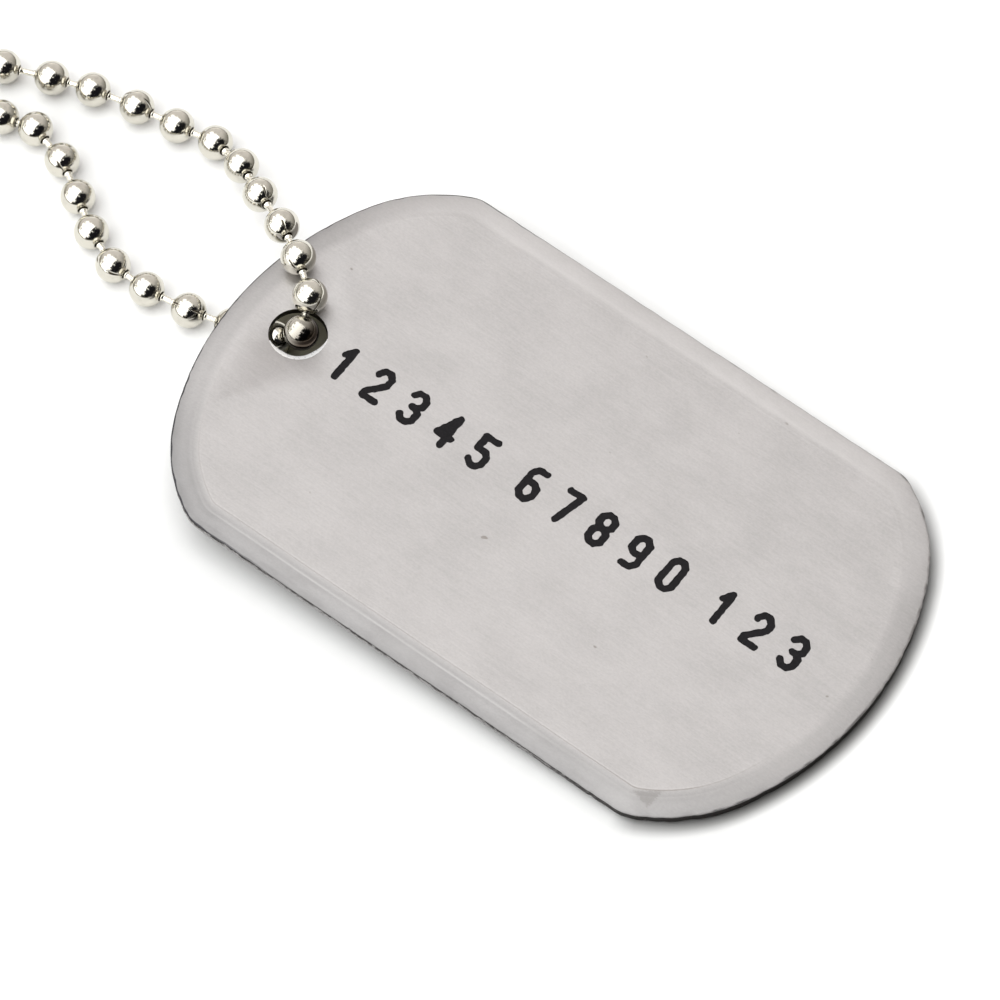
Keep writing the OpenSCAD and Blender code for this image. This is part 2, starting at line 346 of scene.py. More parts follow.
def near_crease(nodes, place, mottle, colour):
    """The crease on the near side, in painted light and shade: a painted shadow line on its inside, a
    band of painted shade, and a painted highlight line.
    """
    inset = nodes.attribute("inset")
    along = nodes.coordinate(place, 0)
    near = near_side(nodes, place)
    patchy = nodes.times(near, nodes.remap(mottle, 0.35, 0.65, 0.4, 1.0))
    # Painted shadow line inside the crease, a band of painted shade, and a painted highlight line
    inner = nodes.times(
        nodes.window(inset, RIM_W - 0.01, RIM_W + 0.07, 0.04), patchy,
        nodes.remap(along, 0.010, 0.018, 0.15, 0.5),
    )
    band = nodes.times(nodes.window(inset, RIM_W - 0.42, RIM_W - 0.02, 0.06), near, 0.2)
    highlight_line = nodes.times(
        nodes.window(inset, RIM_W - 0.6, RIM_W - 0.5, 0.05), patchy,
        nodes.window(along, -0.0165, 0.010, 0.003), 0.2,
    )
    colour = nodes.blend(inner, colour, (0.22, 0.19, 0.165, 1))
    colour = nodes.blend(band, colour, (0.16, 0.158, 0.16, 1))
    return nodes.blend(highlight_line, colour, (0.85, 0.84, 0.83, 1))


def edge_shade_line(nodes, place, colour):
    """Painted shade: a dark line along the edge, darkest at the end with the hole."""
    hole_end = nodes.remap(nodes.coordinate(place, 0), -0.018, -0.008, 0.9, 0.15)
    line = nodes.times(nodes.remap(nodes.attribute("inset"), 0.06, 0.11, 1.0, 0.0), hole_end)
    return nodes.blend(line, colour, (0.03, 0.03, 0.036, 1))


def facet_shade(nodes, place, grain, colour):
    """Painted shade on a patch of rim at one corner, standing in for a small flat facet there, with an
    uneven outline.
    """
    inside = nodes.left_of(place, SHADED_FACET[-1], SHADED_FACET[0])
    for start, end in zip(SHADED_FACET, SHADED_FACET[1:]):
        inside = nodes.math("MINIMUM", inside, nodes.left_of(place, start, end))
    inside = nodes.plus(inside, nodes.spread(grain, -0.12, 0.12))
    return nodes.blend(nodes.remap(inside, -0.10, 0.10, 0.0, 0.40), colour, (0.20, 0.19, 0.18, 1))


def cut_edge():
    """The sheared edge of the sheet, with painted shade: dark at the end without the hole, and a dark
    line over grey elsewhere."""
    material, nodes, place = new_material("cut_edge")
    burrs = nodes.noise(place, (2.2, 2.2, 5.0), detail=4, roughness=0.7)
    shear = nodes.noise(place, (7.0, 7.0, 0.8), detail=2)
    along = nodes.plus(nodes.coordinate(place, 0), nodes.spread(burrs, -0.004, 0.004))
    height = nodes.plus(nodes.coordinate(place, 2), nodes.spread(burrs, -0.00018, 0.00018))
    # Painted shade: the end without the hole, and a line along the top of the wall elsewhere
    end, line = nodes.remap(along, 0.005, 0.015), nodes.remap(height, 0.00026, 0.00036)
    dark = nodes.math("MAXIMUM", end, line)
    colour = nodes.blend(dark, (0.36, 0.35, 0.345, 1), (0.028, 0.025, 0.024, 1))
    colour = nodes.blend(nodes.remap(burrs, 0.60, 0.74), colour, (0.34, 0.32, 0.30, 1))
    nodes.surface(
        Base_Color=colour,
        Metallic=0.85,
        Roughness=nodes.spread(burrs, 0.45, 0.6),
        Normal=nodes.bump(0.6, 0.00004, shear),
    )
    return material


def underside_shade():
    """The tag's underside: unpolished, and painted dark as the shade under the tag."""
    material, nodes, place = new_material("underside_shade")
    streaks = nodes.noise(place, (0.4, 6.0, 6.0), detail=3, roughness=0.6)
    stain = nodes.noise(place, (0.3, 0.3, 0.3), detail=5, roughness=0.6)
    colour = nodes.blend(nodes.spread(stain, 0.0, 1.0), (0.10, 0.095, 0.08, 1), (0.17, 0.16, 0.14, 1))
    nodes.surface(Base_Color=colour, Metallic=1.0, Roughness=nodes.spread(streaks, 0.4, 0.55))
    return material


def nickel(name, tint):
    """Polished nickel plate with faint wear, and painted shade on the ball that sits in the tag's hole.
    """
    material, nodes, place = new_material(name)
    wear = nodes.noise(place, (1.3, 1.3, 1.3), detail=4, roughness=0.6)
    ripple = nodes.noise(place, (0.9, 0.9, 0.9), detail=2)
    worn = tuple(0.86 * share for share in tint[:3]) + (1,)
    colour = nodes.blend(nodes.remap(wear, 0.45, 0.75), tint, worn)
    # Painted shade: the ball in the tag's hole is darkened round one spot
    away = nodes.vector_math("DISTANCE", place, SHADED_BALL_SPOT)
    colour = nodes.blend(nodes.remap(away, 0.0011, 0.0023, 0.97, 0.0), colour, (0.05, 0.035, 0.025, 1))
    nodes.surface(
        Base_Color=colour,
        Metallic=1.0,
        Roughness=nodes.remap(wear, 0.35, 0.75, 0.08, 0.16),
        Normal=nodes.bump(0.4, 0.00005, ripple),
    )
    return material


def recess_shade(name, dark, light):
    """Bare metal painted dark as shade in recesses: in a ball's seam and mouths, and in the tag's hole
    and stamping.
    """
    material, nodes, place = new_material(name)
    blotches = nodes.noise(place, (3.0, 3.0, 3.0), detail=3)
    colour = nodes.blend(nodes.remap(blotches, 0.35, 0.7), dark, light)
    nodes.surface(Base_Color=colour, Metallic=0.8, Roughness=nodes.spread(blotches, 0.35, 0.6))
    return material


def painted_lip():
    """The polished lip on the near side of the hole, painted near white as a highlight."""
    material, nodes, place = new_material("painted_lip")
    scratches = nodes.noise(place, (4.0, 4.0, 4.0), detail=3)
    colour = nodes.blend(nodes.spread(scratches, 0.0, 1.0), (0.90, 0.90, 0.91, 1), (0.98, 0.98, 0.98, 1))
    nodes.surface(Base_Color=colour, Metallic=0.3, Roughness=nodes.spread(scratches, 0.25, 0.4))
    return material


def black_fill():
    """Matt black that fills the stamped figures."""
    material, nodes, place = new_material("black_fill")
    grain = nodes.noise(place, (6.0, 6.0, 6.0), detail=4, roughness=0.7)
    share = nodes.remap(grain, 0.3, 0.8)
    nodes.surface(
        Base_Color=nodes.blend(share, (0.004, 0.0035, 0.0045, 1), (0.016, 0.014, 0.016, 1)),
        Roughness=nodes.spread(grain, 0.55, 0.75),
        Normal=nodes.bump(0.5, 0.00003, grain),
        Specular_IOR_Level=0.15,
    )
    return material


def pale_paper():
    """The floor's matt white, in shade under the tag's hole and at its foot."""
    material, nodes, place = new_material("pale_paper")
    fibre = nodes.noise(place, (0.5, 0.5, 0.5), detail=5, roughness=0.6)
    colour = nodes.blend(nodes.spread(fibre, 0.0, 1.0), (0.94, 0.945, 0.95, 1), (0.955, 0.96, 0.965, 1))
    away = nodes.vector_math("DISTANCE", place, SHADED_GROUND)
    colour = nodes.blend(nodes.remap(away, 0.0025, 0.0050, 0.92, 0.0), colour, (0.28, 0.26, 0.18, 1))
    colour = nodes.blend(nodes.attribute("shade"), colour, (0.02, 0.018, 0.014, 1))
    nodes.surface(Base_Color=colour, Roughness=0.9, Specular_IOR_Level=0.1)
    return material


# Meshes

class Shell:
    """A mesh in the making, in millimetres: points, faces with a material number each, and
    the sets of points whose edges stay sharp."""

    def __init__(self):
        self.blocks = []
        self.insets = []
        self.count = 0
        self.faces = []
        self.slots = []
        self.creases = []

    def ring(self, points, sharp=False, inset=FAR_INSET):
        """Adds points and returns their numbers. inset is how far inside the outline they are."""
        points = np.atleast_2d(np.asarray(points, float))
        ids = np.arange(self.count, self.count + len(points))
        self.blocks.append(points)
        self.insets += [inset] * len(points)
        self.count += len(points)
        if sharp:
            self.creases.append(ids)
        return ids

    def points(self):
        return np.concatenate(self.blocks)

    def bridge(self, first, second, slot=0):
        """Joins two closed rings of equal length with a band of faces."""
        quads = np.stack([first, np.roll(first, -1), np.roll(second, -1), second], 1)
        self.faces += quads.tolist()
        self.slots += [slot] * len(quads) if np.isscalar(slot) else list(slot)

    def bands(self, rings, slot=0):
        for first, second in zip(rings, rings[1:]):
            self.bridge(first, second, slot)

    def cap(self, ring, centre, slot=0):
        """Closes a ring with a fan round one more point."""
        tip = int(self.ring(centre)[0])
        self.faces += [[int(start), int(end), tip] for start, end in zip(ring, np.roll(ring, -1))]
        self.slots += [slot] * len(ring)

    def fill(self, loops, slot=0):
        """Fills the level region that lies inside an odd number of the loops."""
        index = np.concatenate(loops)
        level = self.points()[index][:, :2]
        following = []
        for loop in loops:
            start = len(following)
            following += [start + (k + 1) % len(loop) for k in range(len(loop))]
        edges = list(enumerate(following))
        made = delaunay_2d_cdt([Vector(point) for point in level], edges, [], 0, 1e-7, True)
        corners = np.array([corner[:] for corner in made[0]])
        triangles = np.array(made[2])
        inside = inside_odd(corners[triangles].mean(1), level, level[following])
        source = np.array([index[origin[0]] for origin in made[3]])
        kept = source[triangles[inside]]
        self.faces += kept.tolist()
        self.slots += [slot] * len(kept)

    def mark_sharp(self, mesh):
        """Marks the edges that run between two points of one sharp set."""
        crease_of = np.full(self.count, -1)
        for number, ids in enumerate(self.creases):
            crease_of[ids] = number
        ends = np.zeros(len(mesh.edges) * 2, int)
        mesh.edges.foreach_get("vertices", ends)
        pair = crease_of[ends.reshape(-1, 2)]
        for k in np.flatnonzero((pair[:, 0] == pair[:, 1]) & (pair[:, 0] >= 0)):
            mesh.edges[int(k)].use_edge_sharp = True

    def make(self, name, materials, matrix=None):
        """The finished object, its faces turned outwards."""
        mesh = bpy.data.meshes.new(name)
        mesh.from_pydata((self.points() * MM).tolist(), [], self.faces)
        mesh.polygons.foreach_set("material_index", self.slots)
        for material in materials:
            mesh.materials.append(material)
        if min(self.insets) < FAR_INSET:
            set_values(mesh, "inset", self.insets)
        mesh.shade_smooth()
        self.mark_sharp(mesh)
        work = bmesh.new()
        work.from_mesh(mesh)
        bmesh.ops.recalc_face_normals(work, faces=work.faces)
        work.to_mesh(mesh)
        work.free()
        piece = bpy.data.objects.new(name, mesh)
        bpy.context.scene.collection.objects.link(piece)
        if matrix is not None:
            piece.matrix_world = matrix
        return piece


def set_values(mesh, name, values):
    """Gives each point of a mesh a value that its material can read."""
    mesh.attributes.new(name, "FLOAT", "POINT").data.foreach_set("value", values)


def inside_odd(points, starts, ends):
    """True for each point that lies inside an odd number of the loops made of these edges."""
    run = ends - starts
    rise = np.where(run[:, 1] == 0, 1, run[:, 1])
    found = []
    for block in np.array_split(points, max(1, len(points) // 500)):
        x, y = block[:, :1], block[:, 1:]
        spans = (starts[:, 1] > y) != (ends[:, 1] > y)
        crossing = starts[:, 0] + (y - starts[:, 1]) * run[:, 0] / rise
        found.append((spans & (x < crossing)).sum(1) % 2 == 1)
    return np.concatenate(found)


def smooth_noise(shape, width, rng):
    """Random values with a spread of one, smooth over width steps, that repeat at the ends."""
    values = np.fft.fftn(rng.normal(size=shape))
    for axis, count in enumerate(shape):
        wave = np.fft.fftfreq(count).reshape([-1 if k == axis else 1 for k in range(len(shape))])
        values = values * np.exp(-2 * (math.pi * wave * width) ** 2)
    values = np.fft.ifftn(values).real
    return values / values.std()


def unit(vector):
    return vector / np.linalg.norm(vector)


def at_height(loop, z):
    return np.column_stack([loop, np.broadcast_to(z, len(loop))])


# The tag

def outline(step):
    """Points round the tag at about this step, and the inward direction at each."""
    middle = np.array([TAG_L / 2 - END_R, 0.0])
    shoulder_y = TAG_W / 2 + SHOULDER_PAST - SHOULDER_R
    turn = math.asin(shoulder_y / (END_R - SHOULDER_R))
    shoulder = middle + (END_R - SHOULDER_R) * np.array([math.cos(turn), math.sin(turn)])
    corner_y = TAG_W / 2 - CORNER_R
    reach = math.sqrt((SHOULDER_R - CORNER_R) ** 2 - (corner_y - shoulder[1]) ** 2)
    corner = np.array([shoulder[0] + reach, corner_y])
    corner_from = math.atan2(corner_y - shoulder[1], reach)
    arcs = [
        (middle, END_R, 0, turn),
        (shoulder, SHOULDER_R, turn, corner_from),
        (corner, CORNER_R, corner_from, math.pi / 2),
    ]
    points, inward = [], []
    for centre, radius, low, high in arcs:
        for angle in np.linspace(low, high, math.ceil(radius * (high - low) / step), endpoint=False):
            out = np.array([math.cos(angle), math.sin(angle)])
            points.append(centre + radius * out)
            inward.append(-out)
    for x in np.linspace(corner[0], 0, math.ceil(corner[0] / step) + 1):
        points.append(np.array([x, TAG_W / 2]))
        inward.append(np.array([0.0, -1.0]))
    points, inward = np.array(points), np.array(inward)

    def all_round(quarter):
        west, south = np.array([-1, 1]), np.array([1, -1])
        half = np.concatenate([quarter, (quarter * west)[-2::-1]])
        return np.concatenate([half, (half * south)[-2:0:-1]])

    return all_round(points), all_round(inward)


def rim_fall(reach):
    """How far the rim lies below the face at this distance outside its crease."""
    slope = math.tan(math.radians(RIM_SLOPE))
    bend = (RIM_DROP / RIM_W - slope) / RIM_W
    return slope * reach + bend * reach ** 2


def stroke_field(strokes, x, y):
    """Distance from the strokes' centre lines less half their width, over a grid."""
    best = np.full(x.shape, np.inf)
    for line in strokes:
        ends = [
            (STROKE_W / 2 + u * (FIGURE_W - STROKE_W), STROKE_W / 2 + v * (FIGURE_H - STROKE_W))
            for u, v in line
        ]
        for (from_x, from_y), (to_x, to_y) in zip(ends, ends[1:]):
            run_x, run_y = to_x - from_x, to_y - from_y
            share = ((x - from_x) * run_x + (y - from_y) * run_y) / (run_x ** 2 + run_y ** 2)
            share = np.clip(share, 0, 1)
            best = np.minimum(best, np.hypot(x - from_x - share * run_x, y - from_y - share * run_y))
    return best - STROKE_W / 2


# Sides of a grid cell that a contour runs between, by which of its corners lie inside
FOOT, RIGHT, TOP, LEFT = range(4)
CELL_RUNS = {
    1: [(FOOT, LEFT)], 2: [(RIGHT, FOOT)], 3: [(RIGHT, LEFT)], 4: [(TOP, RIGHT)],
    5: [(FOOT, LEFT), (TOP, RIGHT)], 6: [(TOP, FOOT)], 7: [(TOP, LEFT)], 8: [(LEFT, TOP)],
    9: [(FOOT, TOP)], 10: [(RIGHT, FOOT), (LEFT, TOP)], 11: [(RIGHT, TOP)], 12: [(LEFT, RIGHT)],
    13: [(FOOT, RIGHT)], 14: [(LEFT, FOOT)],
}


def contours(field, origin, step):
    """Closed loops round the region where the field is negative."""
    inside = field < 0
    code = inside[:-1, :-1] + 2 * inside[:-1, 1:] + 4 * inside[1:, 1:] + 8 * inside[1:, :-1]
    follows = {}
    for i, j in zip(*np.nonzero((code > 0) & (code < 15))):
        sides = {FOOT: (i, j, 0), RIGHT: (i, j + 1, 1), TOP: (i + 1, j, 0), LEFT: (i, j, 1)}
        for start, end in CELL_RUNS[int(code[i, j])]:
            follows[sides[start]] = sides[end]

    def crossing(side):
        i, j, upright = side
        here, there = field[i, j], field[i + upright, j + 1 - upright]
        share = np.clip(here / (here - there), 0.02, 0.98)
        return origin + step * np.array([j + share * (1 - upright), i + share * upright])

    loops = []
    while follows:
        side, start = next(iter(follows)), None
        loop = []
        while side != start:
            start = start or side
            loop.append(crossing(side))
            side = follows.pop(side)
        loops.append(np.array(loop))
    return loops


# Centre lines of the figures on a cell one wide and one high, each a list of strokes
WEST, EAST = 0.3, 0.7
FIGURE_LINES = {
    "0": [[(WEST, 0), (EAST, 0), (1, 0.15), (1, 0.85), (EAST, 1), (WEST, 1), (0, 0.85), (0, 0.15),
           (WEST, 0)]],
    "1": [[(0.15, 0.75), (0.55, 1), (0.55, 0)]],
    "2": [[(0, 0.8), (0, 0.85), (WEST, 1), (EAST, 1), (1, 0.85), (1, 0.62), (0, 0.15), (0, 0),
           (1, 0)]],
    "3": [[(0, 0.86), (WEST, 1), (EAST, 1), (1, 0.86), (1, 0.64), (EAST, 0.52), (0.4, 0.52)],
          [(EAST, 0.52), (1, 0.4), (1, 0.14), (EAST, 0), (WEST, 0), (0, 0.14)]],
    "4": [[(0.75, 0), (0.75, 1), (0, 0.3), (1.05, 0.3)]],
    "5": [[(1, 1), (0.05, 1), (0.05, 0.56), (EAST, 0.56), (1, 0.42), (1, 0.14), (EAST, 0),
           (WEST, 0), (0, 0.12)]],
    "6": [[(0.9, 1), (WEST, 1), (0, 0.8), (0, 0.15), (WEST, 0), (EAST, 0), (1, 0.15), (1, 0.42),
           (EAST, 0.55), (0.2, 0.55)]],
    "7": [[(0, 1), (1, 1), (0.4, 0)]],
    "8": [[(WEST, 0.53), (EAST, 0.53), (1, 0.66), (1, 0.87), (EAST, 1), (WEST, 1), (0, 0.87),
           (0, 0.66), (WEST, 0.53), (0, 0.4), (0, 0.14), (WEST, 0), (EAST, 0), (1, 0.14), (1, 0.4),
           (EAST, 0.53)]],
    "9": [[(0.1, 0), (EAST, 0), (1, 0.2), (1, 0.85), (EAST, 1), (WEST, 1), (0, 0.85), (0, 0.58),
           (WEST, 0.45), (0.8, 0.45)]],
}
FIGURES = ["12345", "67890", "123"]


def figure_loops(rng):
    """Ragged outlines of all the figures in the tag's own place: those of the stamping and,
    a little inside them, those of its black filling."""
    step, margin, raggedness, swell, fit = 0.05, 0.4, 0.016, 0.015, 0.006
    speck_points = 12
    slant = math.radians(ROW_SLANT)
    turn = np.array([[math.cos(slant), math.sin(slant)], [-math.sin(slant), math.cos(slant)]])
    columns = np.arange(-margin, FIGURE_W + margin, step)
    rows = np.arange(-margin, FIGURE_H + margin, step)
    x, y = np.meshgrid(columns, rows)
    stamped, filled = [], []
    start = 0.0
    for group in FIGURES:
        for figure in group:
            field = stroke_field(FIGURE_LINES[figure], x, y)
            field = field + raggedness * smooth_noise(field.shape, 1.8, rng) - swell
            for loops, level in ((stamped, 0), (filled, fit)):
                for loop in contours(field + level, np.array([-margin, -margin]), step):
                    if len(loop) > speck_points:
                        loops.append((loop + [start, 0]) @ turn + [HOLE_X + ROW_START, ROW_SIDE])
            start += FIGURE_STEP
        start += GROUP_GAP
    return stamped, filled


# Slots of the tag's materials: the underside, the recesses and the near lip carry painted shade and
# highlight
STEEL, EDGE, UNDER_SHADE, SHADED_RECESS, LIP_HIGHLIGHT = range(5)


def sheet_rings(shell, rng):
    """The sheet from its face over the rim and round its edge to its underside. Returns the
    innermost ring on the face and the one on the underside."""
    line, inward = outline(OUTLINE_STEP)
    ragged_end = np.clip(inward @ [-1, 0.1], 0, 1)
    count = (len(line),)
    burr = smooth_noise(count, BURR_RUN, rng) * (0.7 + 1.7 * ragged_end)
    burr = np.clip(burr, -BURR_MOST, BURR_MOST)
    sway = SWAY_DEPTH * smooth_noise(count, SWAY_RUN, rng)
    nicks = np.clip(np.abs(smooth_noise(count, BURR_RUN, rng)) - NICK_FROM, 0, 1)

    def ring(inset, height, ragged=0.0, sharp=False):
        depth = inset + sway + ragged * burr + 2 * ragged * nicks
        points = at_height(line + np.maximum(depth, 0)[:, None] * inward, height)
        return shell.ring(points, sharp, inset)

    # A shallow groove inside the crease, along the near side and part of the end without the hole
    groove = np.clip(0.2 + inward @ [-0.4, 0.8], 0, 1)
    crease = [ring(RIM_W + 0.16, FACE_Z, sharp=True)]
    for inside, depth in ((0.12, 0.002), (0.07, 0.004), (0.03, 0.001)):
        crease.append(ring(RIM_W + inside, FACE_Z - depth * groove))
    crease.append(ring(RIM_W, FACE_Z, sharp=True))

    # The rim is pressed down less on the far side and at the end without the hole
    pressed = np.clip(0.725 + inward @ [0.275, 0.275], 0, 1)
    ragged_from = 1.4
    reaches = [0.03, 0.08, 0.13, 0.25, 0.45, 0.7, 0.95, 1.2, 1.4, 1.58, RIM_W - EDGE_FILLET]
    rim = []
    for reach in reaches:
        ragged = 0.3 * max(0, reach - ragged_from) ** 2
        rim.append(ring(RIM_W - reach, FACE_Z - pressed * rim_fall(reach), ragged))

    # The edge: a small fillet and a ragged wall that reaches the ground where the tag rests on it
    top = FACE_Z - pressed * rim_fall(RIM_W - EDGE_FILLET)
    bend = [
        ring(EDGE_FILLET * (1 - math.sin(angle)), top - EDGE_FILLET * (1 - math.cos(angle)), 0.012)
        for angle in (0.5, 1.0, 1.4)
    ]
    grounded = np.clip(pressed + inward @ [-0.6, 0], 0, 1)
    foot = FACE_Z - SHEET_T - grounded * RIM_DROP
    wall = [ring(0.004, top - EDGE_FILLET, 0.014)]
    # Each further ring of the wall: its inset, its height over the foot, and its raggedness
    steps = [(0, 0.3, 0.010), (0.015, 0.16, 0.018), (0.01, 0.03, 0.02), (0.04, 0, 0.012)]
    for inset, rise, ragged in steps:
        wall.append(ring(inset, foot + rise, ragged))
    under = [
        ring(RIM_W - reach, FACE_Z - SHEET_T - pressed * rim_fall(reach))
        for reach in (RIM_W - 0.12, 1.4, 1.0, 0.5)
    ]
    under.append(ring(RIM_W, FACE_Z - SHEET_T, sharp=True))
    shell.bands(crease + rim + bend[:2], STEEL)
    shell.bands(bend[1:] + wall, EDGE)
    shell.bands([wall[-1]] + under, UNDER_SHADE)
    return crease[0], under[-1]


def hole_rings(shell):
    """The hole, from its ring on the face to its ring on the underside. Its lip is wide and
    painted near white as a highlight on the near side, and narrow and painted dark as shade elsewhere."""
    around = np.linspace(0, 2 * math.pi, HOLE_SIDES, endpoint=False)
    circle = np.column_stack([np.cos(around), np.sin(around)])
    facing = circle @ unit(np.array(SIGHT_BACK[:2]))
    near = np.clip(facing * 1.7 - 0.3, 0, 1)
    reach = LIP_REACH * near[:, None]

    def ring(radius, height, sharp=False):
        return shell.ring(at_height([HOLE_X, HOLE_Y] + radius * circle, height), sharp)

    lip = []
    for share in np.linspace(0, 1, 7):
        fall = LIP_ROUND * share ** 2 + LIP_FALL * reach[:, 0] * share
        lip.append(ring(HOLE_R + LIP_ROUND - (LIP_ROUND + reach) * share, FACE_Z - fall))
    below = FACE_Z - SHEET_T
    wall = [
        lip[-1],
        ring(HOLE_R - reach, below + 0.2),
        ring(HOLE_R + 0.01 - reach, below + 0.03, True),
        ring(HOLE_R + 0.04 - reach, below, True),
    ]
    shell.bridge(lip[0], lip[1], STEEL)
    shell.bands(lip[1:], np.where(near > 0.02, LIP_HIGHLIGHT, SHADED_RECESS).tolist())
    shell.bands(wall, SHADED_RECESS)
    return lip[0], wall[-1]


def tag_piece(stamped, matrix, rng):
    """The pressed sheet: face, creased rim, sheared edge, underside, hole and stamping."""
    shell = Shell()
    face, underside = sheet_rings(shell, rng)
    hole_above, hole_below = hole_rings(shell)
    face_loops, floor_loops = [face, hole_above], []
    for loop in stamped:
        rim_ring = shell.ring(at_height(loop, FACE_Z), True)
        foot_ring = shell.ring(at_height(loop, FACE_Z - STAMP_DEPTH), True)
        shell.bridge(rim_ring, foot_ring, SHADED_RECESS)
        face_loops.append(rim_ring)
        floor_loops.append(foot_ring)
    shell.fill(face_loops, STEEL)
    shell.fill(floor_loops, SHADED_RECESS)
    shell.fill([underside, hole_below], UNDER_SHADE)
    wall_shade = recess_shade("shaded_wall", (0.016, 0.014, 0.010, 1), (0.05, 0.042, 0.03, 1))
    return shell.make("tag", [brushed_steel(), cut_edge(), underside_shade(), wall_shade, painted_lip()], matrix)


def fill_piece(filled, matrix):
    """The black in the stamped figures."""
    shell = Shell()
    tops, feet = [], []
    for loop in filled:
        tops.append(shell.ring(at_height(loop, FACE_Z - INK_BELOW_FACE), True))
        feet.append(shell.ring(at_height(loop, FACE_Z - STAMP_DEPTH + INK_ABOVE_FLOOR), True))
        shell.bridge(tops[-1], feet[-1])
    shell.fill(tops)
    shell.fill(feet)
    return shell.make("figure_filling", [black_fill()], matrix)


def tag_matrix():
    """From the tag's own place to where it lies: one end on the ground, one on the chain."""
    low, high = (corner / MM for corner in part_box("tag_plate"))
    far = TAG_L - RIM_W
    tilt = math.asin(high.z / math.hypot(far, FACE_Z)) - math.atan2(FACE_Z, far)
    pivot = Vector((high.x - SHEET_T * math.sin(tilt), (low.y + high.y) / 2, 0))
    lifted = Matrix.Rotation(tilt, 4, "Y")
    return Matrix.Translation(pivot * MM) @ lifted @ Matrix.Translation((-TAG_L / 2 * MM, 0, 0))


# The chain

def ball_centres():
    """Centres of the balls in millimetres, in their order along the chain."""
    work = bmesh.new()
    work.from_mesh(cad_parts["chain_balls"].data)
    bmesh.ops.remove_doubles(work, verts=work.verts, dist=1e-6)
    work.verts.ensure_lookup_table()
    seen = np.zeros(len(work.verts), bool)
    found = []
    for first in work.verts:
        if seen[first.index]:
            continue
        seen[first.index] = True
        island, front = [], [first]
        while front:
            vertex = front.pop()
            island.append(vertex.co[:])
            for edge in vertex.link_edges:
                other = edge.other_vert(vertex)
                if not seen[other.index]:
                    seen[other.index] = True
                    front.append(other)
        found.append(sphere_centre(np.array(island) / MM))
    work.free()
    return in_order(np.array(found))


def sphere_centre(points):
    """Centre of a ball from the points of its drilled mesh that lie on its skin."""
    skin_depth, rounds = 0.12, 6
    centre = (points.min(0) + points.max(0)) / 2
    for _ in range(rounds):
        distance = np.linalg.norm(points - centre, axis=1)
        skin = np.abs(distance - BALL_R) < skin_depth
        equations = np.column_stack([2 * points[skin], np.ones(skin.sum())])
        centre = np.linalg.lstsq(equations, (points[skin] ** 2).sum(1), rcond=None)[0][:3]
    return centre


def in_order(centres):
    """From one of the two balls in the clasp to the other, always on to the nearest ball."""
    low, high = (np.array(corner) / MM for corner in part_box("chain_clasp"))
    held = np.flatnonzero(((centres > low) & (centres < high)).all(1))
    waiting = set(range(len(centres))) - set(held.tolist())
    order = [int(held[0])]
    while waiting:
        rest = sorted(waiting)
        gaps = np.linalg.norm(centres[rest] - centres[order[-1]], axis=1)
        order.append(rest[int(gaps.argmin())])
        waiting.discard(order[-1])
    order.append(int(held[1]))
    return centres[order]


def turned(points, axis, angle):
    """Points turned about an axis through the origin."""
    around = np.cross(axis, points)
    along = np.outer(points @ axis, axis)
    return points * math.cos(angle) + around * math.sin(angle) + along * (1 - math.cos(angle))


def leaned(points, axis, tip, share):
    """Points turned by a share of the angle from axis to tip."""
    bend = np.cross(axis, tip)
    size = np.linalg.norm(bend)
    if size < 1e-6:
        return points
    return turned(points, bend / size, share * math.asin(min(1, size)))


def round_axis(angles, side, other):
    """Points on a circle of radius one, at these angles from one side towards the other."""
    return np.outer(np.cos(angles), side) + np.outer(np.sin(angles), other)


NICKEL, SHADE = 0, 1


